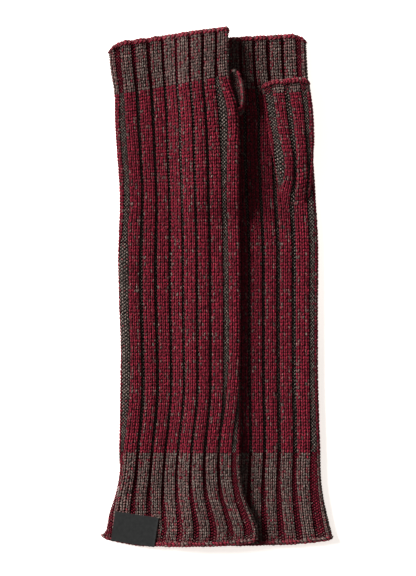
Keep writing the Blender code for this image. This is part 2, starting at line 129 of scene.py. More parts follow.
Ring = namedtuple("Ring", "x y z long_x long_y short_x short_y short_z half_end one two three four half_start")
RIGHT_THUMB_RINGS = (
    Ring(58.3, 82.4, 2.5, 13.3, 0.0, 0.0, -20.5, -0.9, -0.96, -0.88, -0.24, 0.01, 0.64, 0.74),
    Ring(58.3, 85.6, 3.2, 13.3, 0.0, 0.0, -17.6, -0.3, -0.96, -0.87, -0.23, 0.01, 0.66, 0.75),
    Ring(58.1, 89.4, 4.0, 13.8, 0.0, 0.0, -14.2, 0.5, -0.95, -0.73, -0.11, 0.03, 0.7, 0.78),
    Ring(57.7, 93.4, 4.7, 14.4, 0.0, 0.0, -10.5, 1.2, -0.93, -0.52, 0.0, 0.11, 0.73, 0.82),
    Ring(57.2, 97.4, 5.2, 15.0, 0.0, 0.0, -6.8, 1.7, -0.92, -0.44, 0.01, 0.14, 0.71, 0.85),
    Ring(56.8, 101.2, 5.5, 15.4, 0.0, 0.0, -3.3, 2.0, -0.91, -0.43, 0.03, 0.16, 0.7, 0.87),
    Ring(56.7, 104.8, 5.5, 15.9, 0.0, 0.0, 0.0, 2.1, -0.88, -0.53, -0.03, 0.14, 0.65, 0.8),
    Ring(54.4, 131.0, 5.5, 17.6, 0.5, 0.0, 0.0, 2.1, -0.92, -0.6, -0.11, 0.1, 0.62, 0.82),
    Ring(51.2, 155.0, 5.5, 17.6, 1.5, 0.0, 0.0, 2.1, -0.92, -0.61, -0.09, 0.08, 0.59, 0.8),
)
LEFT_THUMB_RINGS = (
    Ring(1.9, 90.8, 6.35, 11.5, 0.0, 0.0, -13.9, 0.15, -0.96, -0.87, -0.15, 0.13, 0.83, 0.95),
    Ring(1.9, 91.3, 6.0, 12.0, 0.0, 0.0, -13.5, -0.3, -0.96, -0.86, -0.14, 0.13, 0.85, 0.95),
    Ring(1.6, 93.7, 5.2, 12.6, 0.0, 0.0, -11.2, -1.1, -0.93, -0.7, -0.1, 0.13, 0.8, 0.94),
    Ring(1.2, 98.6, 3.9, 13.2, 0.0, 0.0, -6.6, -2.4, -0.9, -0.6, -0.1, 0.13, 0.7, 0.92),
    Ring(0.8, 102.8, 3.3, 13.6, 0.0, 0.0, -2.8, -2.9, -0.88, -0.55, -0.1, 0.13, 0.65, 0.9),
    Ring(0.5, 107.0, 3.1, 13.8, 0.0, 0.0, 0.0, -3.1, -0.86, -0.52, -0.1, 0.13, 0.6, 0.88),
    Ring(3.0, 124.0, 3.1, 12.0, -1.5, 0.0, 0.0, -3.1, -0.82, -0.5, -0.1, 0.13, 0.58, 0.85),
    Ring(6.0, 135.5, 3.1, 10.1, -8.3, 1.2, 0.9, -3.1, -0.8, -0.5, -0.1, 0.12, 0.58, 0.82),
    Ring(11.0, 142.5, 4.4, 5.0, -13.4, 7.6, 0.8, -2.3, -0.78, -0.5, -0.1, 0.12, 0.58, 0.8),
    Ring(13.6, 147.8, 9.4, 1.6, -14.8, 5.8, 0.6, 0.4, -0.78, -0.5, -0.1, 0.12, 0.58, 0.8),
)
RIGHT_THUMB_BASE = 2 * FOLD_RADIUS - WALL
THUMB_SQUARENESS = 2.6
THUMB_RIM_REACH = 9.0
THUMB_CORNER_POWERS = (4.5, 9.0)
THUMB_HEM = 10.0
THUMB_HEM_FLAT = 0.75
LINING_COURSES = 8
LINING_DEPTHS = (0.5, 0.7)
THUMB_SIDE_RISE = 0.6  # the left half rib is lower than the others

THUMB_HEM_RISE = 0.6
THUMB_OPEN_TROUGHS = (1, 3)
LINING_OPEN_TROUGHS = (0, 1, 2)
THUMB_COURSES = {"left": 28, "right": 36}
THUMB_BAND_COURSES = 4
THUMB_CORNER_DROPS = {"left": 0.0, "right": 3.6}
THUMB_CHAINS = {"left": (0.15, 1.15, 0.45), "right": (0.12, 1.25, 0.55)}  # share of grey, thickness, tone
THUMB_FIRST_COLUMN = 14  # the middle of a repeat's rib, where a thumb's grid starts
# The mouth's lining is laid darker than the other stitches: painted shade inside the left thumb's mouth.
LINING_PAINTED_SHADE_TONE = 0.15

LABEL_LENGTH = 32.8
LABEL_HEIGHT = 22.2
LABEL_CENTRE = (-61.7, -181.2)
LABEL_TURN = math.radians(-8.7)
LABEL_TOP = 0.7  # over the height at which it is laid
LABEL_THICKNESS = 0.6
LABEL_CELLS = (32, 20)

# The knitting. A repeat is two purl wales in a trough and three knit wales on a rib.
PURL_WALES = 2
KNIT_WALES = 3
REPEAT = PURL_WALES + KNIT_WALES
FRONT_RIBS = 8
REPEATS = 2 * FRONT_RIBS + 2
WALE_EDGES = (0.0, 0.32, 0.68, 1.0)  # where a rib's three wales lie across it
WALE_SAMPLES = 4
COURSE_SAMPLES = 2
RIB_ROUNDNESS = 4.0  # the power of a rib's rounded cross-section
TROUGH_DEPTH = 0.45  # how much deeper than the part's the narrow troughs are
OPEN_TROUGH = (1.4, 3.2)  # a trough this wide starts to lie open, and one this wide is open
OPEN_RAISED = -1.4  # an open trough's depth as a share of that: it stands up instead
HEM_COURSES = (1.0, 4.5)  # the ribs grow out of a flat hem over these courses
HEM_RIBBED = 0.25
HEM_RISE = 0.55  # how high the flat hem lies, as a share of a rib's rise
HEM_MIXED = 3  # the hem's courses that show both yarns
BACK_TROUGH = 0.45  # how far the underside's troughs stay off the ground
BACK_TROUGH_SHARE = 0.35  # an underside trough's width, as a share of its rib's
YARN_SINK = 0.35  # the yarn's middle lies this far inside the part's surface
WALL_SINK = 0.8  # and so does the plain wall behind it
INNER_SKIN = 1.95  # the wall's inner face
WALL_STEPS = (2, 4)  # the wall takes every second column and every fourth row of the grid
LOWEST_YARN = 0.05
LOWEST_WALL = 0.4
CORNER_POWER = 1.6

# How far a stitch's wale and course reach, in millimetres.
TUBE_PITCH = (2.8, 2.4)
THUMB_PITCH = (2.6, 2.6)
LINING_PITCH = (2.6, 2.4)

THUMB_SEED = 7
HEM_SEED = 11
RIM_SEED = 12
THUMB_RIM_SEED = 13
LINING_SEED = 21

Stretch = namedtuple("Stretch", "name courses main")
Warmer = namedtuple("Warmer", "side sections seams shares width_power open_troughs corners stretches lift")


def mix(a, b, share):
    return a + (b - a) * share


def smooth_step(value, start, end):
    t = np.clip((value - start) / (end - start), 0.0, 1.0)
    return t * t * (3.0 - 2.0 * t)


def side_of_right_warmer(y):
    rows = np.array(RIGHT_SECTIONS)
    return np.interp(y, rows[:, 1], rows[:, 0])


def left_lift(x, y):
    """How high the left warmer lies: over the right one's side, and again over its own thumb."""
    side = side_of_right_warmer(y)
    over_right = smooth_step(x, side - RAMP_BEFORE, side + RAMP_PAST)
    beside_thumb = smooth_step(x, *THUMB_RAMP_X)
    along_thumb = smooth_step(y, *THUMB_RAMP_ELBOW) * (1.0 - smooth_step(y, *THUMB_RAMP_FINGERS))
    return LAID_ON * over_right + OVER_THUMB * beside_thumb * along_thumb


def no_lift(x, y):
    return np.zeros_like(x)


LEFT = Warmer(
    "left",
    LEFT_SECTIONS,
    (5, 15),
    (16.5, 14.5, 13.5, 13.0, 14.0, 13.5, 14.5, 14.5),
    0.0,
    (0, 7, 8),
    Corners(6.0, 3.4, 2.4, 0.0, 4.6, 2.4),
    (Stretch("elbow_cuff", 32, "grey"), Stretch("arm", 110, "crimson"), Stretch("hand_band", 16, "grey")),
    left_lift,
)
RIGHT = Warmer(
    "right",
    RIGHT_SECTIONS,
    (4, 12),
    (12.0, 12.5, 12.5, 13.0, 14.0, 14.0, 15.2, 18.8),
    0.5,
    (0, 8),
    Corners(3.4, 3.0, 1.0, 3.0, 3.0, 3.2),
    (Stretch("elbow_cuff", 32, "grey"), Stretch("arm", 109, "crimson"), Stretch("hand_band", 17, "grey")),
    no_lift,
)


# --- Surface grids -----------------------------------------------------------

# places, inner and outward are arrays of rows by columns by three: the cloth's outer face, its wall's inner
# face and the outer face's unit normals. open_troughs numbers the repeats whose troughs lie open.
Surface = namedtuple("Surface", "places inner outward wales courses open_troughs")


def through_rows(rows, positions, wanted):
    """Smooth curves through the rows of a table, at the wanted positions along it."""
    rows, positions = np.array(rows, float), np.array(positions, float)
    slopes = np.gradient(rows, positions, axis=0)
    low = np.clip(np.searchsorted(positions, wanted, side="right") - 1, 0, len(positions) - 2)
    step = (positions[low + 1] - positions[low])[:, None]
    t = (wanted - positions[low])[:, None] / step
    start = rows[low] * (1 + 2 * t) * (1 - t) ** 2 + slopes[low] * step * t * (1 - t) ** 2
    end = rows[low + 1] * t * t * (3 - 2 * t) + slopes[low + 1] * step * t * t * (t - 1)
    return start + end


def outline(flat, left, right, along):
    """Places round the pressed tube: across, height, and the outward direction's two parts."""
    arc = math.pi * FOLD_RADIUS
    along = along % (2 * (flat + arc))
    on_front = along <= flat
    on_right = (along > flat) & (along < flat + arc)
    on_back = (along >= flat + arc) & (along <= 2 * flat + arc)
    right_angle = math.pi / 2 - (along - flat) / FOLD_RADIUS
    left_angle = -math.pi / 2 - (along - 2 * flat - arc) / FOLD_RADIUS
    angle = np.where(on_right, right_angle, left_angle)
    across = np.where(on_front | on_back, 0.0, np.cos(angle))
    up = np.where(on_front, 1.0, np.where(on_back, -1.0, np.sin(angle)))
    x = np.where(on_right, right, left) + FOLD_RADIUS * np.cos(angle)
    x = np.where(on_front, left + along, np.where(on_back, right - (along - flat - arc), x))
    return x, FOLD_RADIUS * (1 + up), across, up


def rib_edges(rows, shares, width_power, rib_width):
    """Where each repeat's trough and rib start, along the outline of every row, and where the last one ends."""
    flat = (rows[:, 2] - rows[:, 0] - 2 * (FOLD_RADIUS + RIB_RISE))[:, None]
    arc = math.pi * FOLD_RADIUS
    first, last = rows[:, 4:5], flat + rows[:, 5:6]
    drift, wedge, left_open, first_wide, right_open, last_wide = (rows[:, i : i + 1] for i in range(6, 12))
    share = np.concatenate(([0.0], np.cumsum(shares))) / sum(shares)
    troughs = first + (last - first - wedge) * share + drift * np.sin(np.pi * share)
    pitch = np.diff(troughs, axis=1)
    uneven = (np.array(shares) / np.mean(shares)) ** width_power
    width = np.minimum(rib_width[:, None] * uneven, pitch - LEAST_TROUGH)
    before = np.array([END_TROUGH_SHARE] + [1.0] * (FRONT_RIBS - 1))
    after = before[::-1]
    start = troughs[:, :-1] + (pitch - width) * before / (before + after)
    start[:, -1:] += wedge
    end = start + width
    start[:, :1] -= first_wide
    end[:, -1:] += last_wide
    right_fold, left_fold = flat + arc, 2 * flat + arc
    left_trough = 2 * (flat + arc) + first - left_open
    last = last + right_open
    fold_start, fold_end = mix(last, right_fold, FOLD_RIB_START), mix(last, right_fold, FOLD_RIB_END)
    far_start, far_end = mix(left_trough, left_fold, FOLD_RIB_END), mix(left_trough, left_fold, FOLD_RIB_START)
    edges = [far_end - 2 * (flat + arc)]
    for rib in range(FRONT_RIBS):
        edges += [start[:, rib : rib + 1], end[:, rib : rib + 1]]
    edges += [fold_start, fold_end]
    back_rib = (far_start - fold_end) / (FRONT_RIBS + (FRONT_RIBS + 1) * BACK_TROUGH_SHARE)
    place = fold_end
    for rib in range(FRONT_RIBS):
        place = place + back_rib * BACK_TROUGH_SHARE
        edges.append(place)
        place = place + back_rib
        edges.append(place)
    edges += [far_start, far_end]
    return np.concatenate(edges, axis=1), flat


def cell_shares():
    """Each column's place between two edges, for a trough's wales and for a rib's, and a rib's rounded rise."""
    steps = np.arange(WALE_SAMPLES) / WALE_SAMPLES
    trough = np.concatenate([(wale + steps) / PURL_WALES for wale in range(PURL_WALES)])
    rib = np.concatenate([mix(a, b, steps) for a, b in zip(WALE_EDGES, WALE_EDGES[1:])])
    rise = (1.0 - np.abs(2 * rib - 1) ** RIB_ROUNDNESS) ** (1 / RIB_ROUNDNESS)
    return trough, rib, rise


def outward_directions(places, closed_outward):
    """Unit normals of a closed grid, all turned to the side that closed_outward points to on the whole."""
    round_tube = np.roll(places, -1, axis=1) - np.roll(places, 1, axis=1)
    along_tube = np.gradient(places, axis=0)
    normals = np.cross(round_tube, along_tube)
    normals /= np.maximum(np.linalg.norm(normals, axis=2, keepdims=True), 1e-9)
    return normals * np.sign((normals * closed_outward).sum())


def warmer_surface(warmer):
    """The surface grid of one warmer, from its elbow's hem to its fingers' rim."""
    table = np.array(warmer.sections)
    middles = (table[:, 1] + table[:, 3]) / 2
    counts = np.cumsum([0] + [stretch.courses for stretch in warmer.stretches])
    course = np.linspace(0, counts[-1], counts[-1] * COURSE_SAMPLES + 1)
    seams = [middles[0], middles[warmer.seams[0]], middles[warmer.seams[1]], middles[-1]]
    position = np.interp(course, counts, seams)
    rows = through_rows(table, middles, position)
    edges, flat = rib_edges(
        rows, warmer.shares, warmer.width_power, np.interp(course, RIB_WIDTH_COURSES, RIB_WIDTHS)
    )
    trough, rib, round_rise = cell_shares()
    along, rise, purl = [], [], []
    for repeat in range(REPEATS):
        on_fold = repeat in (FRONT_RIBS, REPEATS - 1)
        a, b, c = (edges[:, 2 * repeat + i : 2 * repeat + i + 1] for i in range(3))
        along += [mix(a, b, trough), mix(b, c, rib)]
        narrow = mix(1.0, OPEN_RAISED, smooth_step(b - a, *OPEN_TROUGH))
        rise += [trough * 0.0, round_rise * (FOLD_RIB_RISE if on_fold else 1.0)]
        purl += [narrow * np.sin(np.pi * trough) ** 0.5, np.zeros((len(rows), len(rib)))]
    along = np.concatenate(along, axis=1)
    rise = np.concatenate(rise)[None, :]
    purl = np.concatenate(purl, axis=1)
    left, right = rows[:, 0:1] + FOLD_RADIUS + RIB_RISE, rows[:, 2:3] - FOLD_RADIUS - RIB_RISE
    x, height, across, up = outline(flat, left, right, along)
    ribbed = mix(HEM_RIBBED, 1.0, smooth_step(course, *HEM_COURSES))[:, None]
    rise = rise * ribbed + (1.0 - ribbed) * HEM_RISE
    purl = purl * ribbed
    raised = rise * RIB_RISE * np.clip(1.0 + up, 0.0, 1.0)
    raised = np.where(up < 0.0, np.minimum(raised, FOLD_RADIUS / np.maximum(-up, 1e-6) - FOLD_RADIUS), raised)
    raised = raised - purl * mix(BACK_TROUGH, TROUGH_DEPTH, np.clip(1.0 + up, 0.0, 1.0))
    share = (x - rows[:, 0:1]) / (rows[:, 2:3] - rows[:, 0:1])
    y = mix(rows[:, 1:2], rows[:, 3:4], share)
    from_left, from_right = x - rows[:, 0:1] - RIB_RISE, rows[:, 2:3] - x - RIB_RISE
    near_hem = np.clip((middles[1] - position) / (middles[1] - middles[0]), 0, 1)[:, None]
    near_rim = np.clip((position - middles[-2]) / (middles[-1] - middles[-2]), 0, 1)[:, None]

    def bend(left_drop, right_drop, reach, power):
        at_left = left_drop * np.clip(1.0 - from_left / reach, 0.0, 1.0) ** power
        return at_left + right_drop * np.clip(1.0 - from_right / reach, 0.0, 1.0) ** power

    def round_corner(distance, radius):
        return radius * (1.0 - np.sqrt(1.0 - np.clip(1.0 - distance / radius, 0.0, 1.0) ** 2))

    y = y + near_hem * bend(warmer.corners.hem_left, warmer.corners.hem_right, HEM_REACH, CORNER_POWER)
    y = y - near_rim * bend(warmer.corners.rim_left, warmer.corners.rim_right, RIM_REACH, CORNER_POWER)
    corner = round_corner(from_left, warmer.corners.left_radius)
    corner = corner + round_corner(from_right, warmer.corners.right_radius)
    y = y + corner * (near_hem**2 * HEM_CORNER_SHARE - near_rim**2)
    y = y + near_rim * RIB_SCALLOP * rise
    lift = warmer.lift(x, y)
    outward = np.stack([across, np.zeros_like(across), up], axis=2)
    middle_line = np.stack([x, y, height + lift], axis=2)
    places = middle_line + outward * raised[:, :, None]
    inner = middle_line - outward * INNER_SKIN
    outward = outward_directions(places, outward)
    return Surface(places, inner, outward, REPEATS * REPEAT, counts[-1], warmer.open_troughs)


def thumb_surface(rings, base_z, up, rib_rise, courses, corner_drop):
    """The surface grid of one thumb. Its outer wall has half a rib, two ribs and half a rib. Its palm is flat."""
    lengths = np.linalg.norm(np.diff(np.array([ring[:3] for ring in rings]), axis=0), axis=1)
    outer = np.array([[r.x + r.short_x, r.y + r.short_y, r.z + r.short_z] for r in rings])
    lengths = (lengths + np.linalg.norm(np.diff(outer, axis=0), axis=1)) / 2
    positions = np.concatenate(([0.0], np.cumsum(lengths)))
    wanted = np.linspace(0, positions[-1], courses * COURSE_SAMPLES + 1)
    rows = through_rows(rings, positions, wanted)
    trough, rib, round_rise = cell_shares()
    half = len(rib) // 2
    columns = [rows[:, i : i + 1] for i in range(8, 14)]
    low, high = -0.995, 0.995
    bottom = np.sin(np.pi * trough) ** 0.5
    width = np.linalg.norm(rows[:, 3:5], axis=1)[:, None]

    def trough_purl(a, b):
        return mix(1.0, OPEN_RAISED, smooth_step((columns[b] - columns[a]) * width, *OPEN_TROUGH)) * bottom

    every_row = np.ones((len(rows), 1))
    across = [mix(low, columns[0], (rib[half:] - 0.5) * 2)]
    rise = [round_rise[half:] * THUMB_SIDE_RISE]
    purl = [every_row * np.zeros(half)]
    for a, b, c in ((0, 1, 2), (2, 3, 4)):
        across += [mix(columns[a], columns[b], trough), mix(columns[b], columns[c], rib)]
        rise += [trough * 0.0, round_rise]
        purl += [trough_purl(a, b), every_row * round_rise * 0.0]
    across += [mix(columns[4], columns[5], trough), mix(columns[5], high, rib[:half] * 2)]
    rise += [trough * 0.0, round_rise[:half]]
    purl += [trough_purl(4, 5), every_row * np.zeros(half)]
    front = np.concatenate(across, axis=1)
    count = front.shape[1]
    angles = np.pi * (np.arange(count) + 0.5) / count
    across = np.concatenate([front, np.repeat(np.cos(angles)[None, :], len(rows), axis=0)], axis=1)
    side = np.concatenate([np.ones(count), -np.ones(count)])[None, :]
    rise = np.concatenate(rise + [np.zeros(count)])[None, :]
    purl = np.concatenate(purl + [every_row * np.zeros(count)], axis=1)
    depth = (1.0 - np.abs(across) ** THUMB_SQUARENESS) ** (1.0 / THUMB_SQUARENESS) * side
    centre = rows[:, None, 0:3] + np.array([0.0, 0.0, base_z])
    long_axis = np.concatenate([rows[:, 3:5], np.zeros((len(rows), 1))], axis=1)[:, None, :]
    short_axis = rows[:, None, 5:8]
    end = positions[-1]
    ribbed = 1.0 - THUMB_HEM_FLAT * smooth_step(wanted, end - THUMB_HEM, end - THUMB_HEM / 2)
    rise = rise * ribbed[:, None] + THUMB_HEM_RISE * (1.0 - ribbed[:, None])
    shift = rise * rib_rise - purl * TROUGH_DEPTH * np.clip(rib_rise, 0, 1)
    vertical = np.array([0.0, 0.0, 1.0])
    ring_place = centre + long_axis * across[:, :, None] + short_axis * depth[:, :, None]
    places = ring_place + vertical * shift[:, :, None]
    if corner_drop:
        near_rim = smooth_step(wanted, end - THUMB_RIM_REACH, end)[:, None]
        power = np.where(across < 0.0, THUMB_CORNER_POWERS[0], THUMB_CORNER_POWERS[1])
        places[:, :, 1] -= near_rim * corner_drop * np.abs(across) ** power
        places[:, :, 1] += near_rim * RIB_SCALLOP * rise
    bore = long_axis * (1 - WALL / np.linalg.norm(long_axis, axis=2, keepdims=True))
    inner = centre + bore * across[:, :, None] + short_axis * depth[:, :, None]
    inner = inner - vertical * (WALL * up * depth)[:, :, None]
    outward = ring_place - centre
    outward = outward_directions(places, outward)
    return Surface(places, inner, outward, 2 * count // WALE_SAMPLES, courses, THUMB_OPEN_TROUGHS)


def sample(surface, wale, course):
    """Places and outward directions on a surface, between its grid's points."""
    columns = surface.places.shape[1]
    column = (wale * WALE_SAMPLES) % columns
    row = np.clip(course * COURSE_SAMPLES, 0, surface.places.shape[0] - 1.001)
    c, r = np.floor(column).astype(int) % columns, np.floor(row).astype(int)
    s, t = (column - np.floor(column))[..., None], (row - r)[..., None]
    n = (c + 1) % columns

    def between(grid):
        return mix(mix(grid[r, c], grid[r, n], s), mix(grid[r + 1, c], grid[r + 1, n], s), t)

    outward = between(surface.outward)
    beyond = course - np.clip(course, 0, surface.courses)
    next_row = mix(surface.places[r + 1, c], surface.places[r + 1, n], s)
    run = next_row - mix(surface.places[r, c], surface.places[r, n], s)
    places = between(surface.places) + run * (beyond * COURSE_SAMPLES)[..., None]
    return places, outward / np.linalg.norm(outward, axis=-1, keepdims=True)


# --- Stitches ----------------------------------------------------------------

# One strand of yarn that shows: a spindle that dives into the cloth at both ends. It goes from one place in its
# wale and course to another, with its crest's height and its half-width and half-thickness in millimetres.
Strand = namedtuple("Strand", "from_wale from_course to_wale to_course crest width thick start_dive end_dive")
KNIT_LEGS = (
    Strand(-0.04, -0.74, -0.38, 0.68, 0.12, 0.63, 0.55, 0.25, 0.7),
    Strand(0.04, -0.74, 0.38, 0.68, 0.12, 0.63, 0.55, 0.25, 0.7),
)
PURL_BUMP = Strand(-0.48, -0.32, 0.48, 0.32, 0.5, 0.48, 0.45, 0.7, 0.7)
EDGE_CHAIN = (
    Strand(-0.75, -1.25, 0.8, -0.3, 0.75, 1.05, 0.95, 0.5, 0.5),
    Strand(-0.7, 0.15, 0.8, -0.5, -0.1, 1.15, 1.25, 0.3, 0.3),
)
HALF_BUMP_SHIFT = 0.25  # how far aside an open trough's two bumps lie in their wale
STITCH_SCATTER = (0.03, 0.05, 0.06)  # how unevenly stitches lie: in wales, in courses and in millimetres up
ATLAS_MARGIN = 0.1
SPINDLE_SIDES = 4
SPINDLE_RINGS = (0.3, 0.7)  # where a spindle's two rings lie between its tips
SPINDLE_POINTS = SPINDLE_SIDES * len(SPINDLE_RINGS) + 2


def spindle_faces():
    """A spindle's triangles, and for each of their corners its place along and round the spindle."""
    faces, corners = [], []
    for side in range(SPINDLE_SIDES):
        near, far = side, (side + 1) % SPINDLE_SIDES
        u, v = side / SPINDLE_SIDES, (side + 1) / SPINDLE_SIDES
        a, b = 1 + near, 1 + far
        c, d = 1 + SPINDLE_SIDES + near, 1 + SPINDLE_SIDES + far
        tip = SPINDLE_POINTS - 1
        low, high = SPINDLE_RINGS
        faces += [(0, b, a), (a, b, d), (a, d, c), (c, d, tip)]
        corners += [
            ((0.0, u), (low, v), (low, u)),
            ((low, u), (low, v), (high, v)),
            ((low, u), (high, v), (high, u)),
            ((high, u), (high, v), (1.0, v)),
        ]
    return np.array(faces), np.array(corners)


def lay_strands(surface, wales, courses, strand, scatter, pitch):
    """The points of one strand of many stitches, laid on a surface: stitches by points by three."""
    count = len(wales)
    wale_mm, course_mm = pitch
    along_wales, along_courses = strand.to_wale - strand.from_wale, strand.to_course - strand.from_course
    run = np.array([along_wales * wale_mm, along_courses * course_mm])
    run /= np.linalg.norm(run)
    aside = np.array([-run[1] / wale_mm, run[0] / course_mm]) * strand.width
    offsets = [(strand.from_wale, strand.from_course, strand.crest - strand.start_dive)]
    for place in SPINDLE_RINGS:
        wale = mix(strand.from_wale, strand.to_wale, place)
        course = mix(strand.from_course, strand.to_course, place)
        for side in range(SPINDLE_SIDES):
            angle = 2 * math.pi * side / SPINDLE_SIDES
            move = aside * math.cos(angle)
            offsets.append((wale + move[0], course + move[1], strand.crest + strand.thick * math.sin(angle)))
    offsets.append((strand.to_wale, strand.to_course, strand.crest - strand.end_dive))
    offsets = np.array(offsets)
    jitter = scatter.normal(0.0, 1.0, (count, 3)) * np.array(STITCH_SCATTER)
    local = offsets[None, :, :] + jitter[:, None, :]
    places, outward = sample(surface, wales[:, None] + local[:, :, 0], courses[:, None] + local[:, :, 1])
    return places + outward * (local[:, :, 2:3] - YARN_SINK)


def strands_piece(name, strands, yarns, tones, material):
    """Joins laid strands into one piece, with each strand's yarn and tone, and a cell of the piece's UV map."""
    points = np.concatenate(strands)
    count = len(points)
    points[:, :, 2] = np.maximum(points[:, :, 2], LOWEST_YARN)
    faces, corners = spindle_faces()
    starts = np.arange(count) * SPINDLE_POINTS
    triangles = (faces[None, :, :] + starts[:, None, None]).reshape(-1)
    mesh = bpy.data.meshes.new(name)
    mesh.vertices.add(count * SPINDLE_POINTS)
    mesh.vertices.foreach_set("co", (points * MM).astype(np.float32).reshape(-1))
    mesh.loops.add(len(triangles))
    mesh.loops.foreach_set("vertex_index", triangles.astype(np.int32))
    mesh.polygons.add(len(triangles) // 3)
    mesh.polygons.foreach_set("loop_start", np.arange(0, len(triangles), 3, dtype=np.int32))
    mesh.polygons.foreach_set("use_smooth", np.ones(len(triangles) // 3, dtype=bool))
    mesh.update(calc_edges=True)
    for attribute, values in (("yarn", yarns), ("tone", tones)):
        spread = np.repeat(np.concatenate(values), SPINDLE_POINTS).astype(np.float32)
        mesh.attributes.new(attribute, "FLOAT", "POINT").data.foreach_set("value", spread)
    across = math.ceil(math.sqrt(count))
    cell = np.stack([np.arange(count) % across, np.arange(count) // across], axis=1)
    atlas = (cell[:, None, None, :] + ATLAS_MARGIN + (1.0 - 2 * ATLAS_MARGIN) * corners[None]) / across
    mesh.uv_layers.new(name="OFBake").data.foreach_set("uv", atlas.astype(np.float32).reshape(-1))
    mesh.validate()
    return finish_piece(name, mesh, material)


def mesh_from(bm, name):
    mesh = bpy.data.meshes.new(name)
    bm.to_mesh(mesh)
    bm.free()
    return mesh


def finish_piece(name, mesh, material):
    mesh.materials.append(material)
    piece = bpy.data.objects.new(name, mesh)
    bpy.context.scene.collection.objects.link(piece)
    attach(piece, "root")
    return piece


def cloth_wall(name, surface, first_row, last_row, hole, material):
    """A stretch's plain cloth, which its stitches lie on: one closed wall with a rim at each end."""
    columns = range(0, surface.places.shape[1], WALL_STEPS[0])
    rows = list(range(first_row, last_row + 1, WALL_STEPS[1]))
    if rows[-1] != last_row:
        rows.append(last_row)
    outer = surface.places - surface.outward * WALL_SINK
    bm = bmesh.new()
    bmesh.ops.create_grid(bm, x_segments=len(columns), y_segments=len(rows) - 1, size=1.0)
    bm.verts.ensure_lookup_table()
    index = bm.verts.layers.int.new("grid_place")
    across = len(columns) + 1
    for number, vert in enumerate(bm.verts):
        row, column = rows[number // across], columns[(number % across) % len(columns)]
        vert[index] = row * surface.places.shape[1] + column
        vert.co = outer[row, column]
    bmesh.ops.remove_doubles(bm, verts=bm.verts, dist=1e-4)
    if hole is not None:
        inside = [face for face in bm.faces if hole(face.calc_center_median())]
        bmesh.ops.delete(bm, geom=inside, context="FACES")
    lifted = bmesh.ops.extrude_face_region(bm, geom=list(bm.faces))
    for vert in lifted["geom"]:
        if isinstance(vert, bmesh.types.BMVert):
            vert.co = surface.inner[divmod(vert[index], surface.places.shape[1])]
    for vert in bm.verts:
        vert.co = (vert.co.x * MM, vert.co.y * MM, max(vert.co.z, LOWEST_WALL) * MM)
    bmesh.ops.recalc_face_normals(bm, faces=bm.faces)
    for face in bm.faces:
        face.smooth = True
    return finish_piece(name, mesh_from(bm, name), material)


# --- Materials ---------------------------------------------------------------


def linear(hex_colour):
    """An sRGB hex colour as the linear colour that a shader takes."""
    values = [int(hex_colour[i : i + 2], 16) / 255 for i in (1, 3, 5)]
    return tuple(v / 12.92 if v <= 0.04045 else ((v + 0.055) / 1.055) ** 2.4 for v in values) + (1.0,)


def add_node(material, kind, settings=None, **inputs):
    """Adds a node. Settings are its own properties; an input is a value or another node's output."""
    tree = material.node_tree
    node = tree.nodes.new(kind)
    for name, value in (settings or {}).items():
        setattr(node, name, value)
    for name, value in inputs.items():
        socket = node.inputs[int(name[1:])] if name[0] == "_" else node.inputs[name.replace("_", " ")]
        if isinstance(value, bpy.types.NodeSocket):
            tree.links.new(value, socket)
        else:
            socket.default_value = value
    return node


def mix_colours(material, share, low, high, blend="MIX"):
    settings = {"data_type": "RGBA", "blend_type": blend}
    return add_node(material, "ShaderNodeMix", settings, _0=share, _6=low, _7=high).outputs[2]


def map_range(material, value, start, end, low=0.0, high=1.0):
    limits = {"From_Min": start, "From_Max": end, "To_Min": low, "To_Max": high}
    return add_node(material, "ShaderNodeMapRange", Value=value, **limits).outputs[0]


def finish_cloth(material, colour, bump, **surface):
    normal = bump.outputs[0]
    shader = add_node(material, "ShaderNodeBsdfPrincipled", Base_Color=colour, Normal=normal, **surface)
    add_node(material, "ShaderNodeOutputMaterial", Surface=shader.outputs[0])
    return material


def new_material(name):
    material = bpy.data.materials.new(name)
    material.use_nodes = True
    material.node_tree.nodes.clear()
    return material


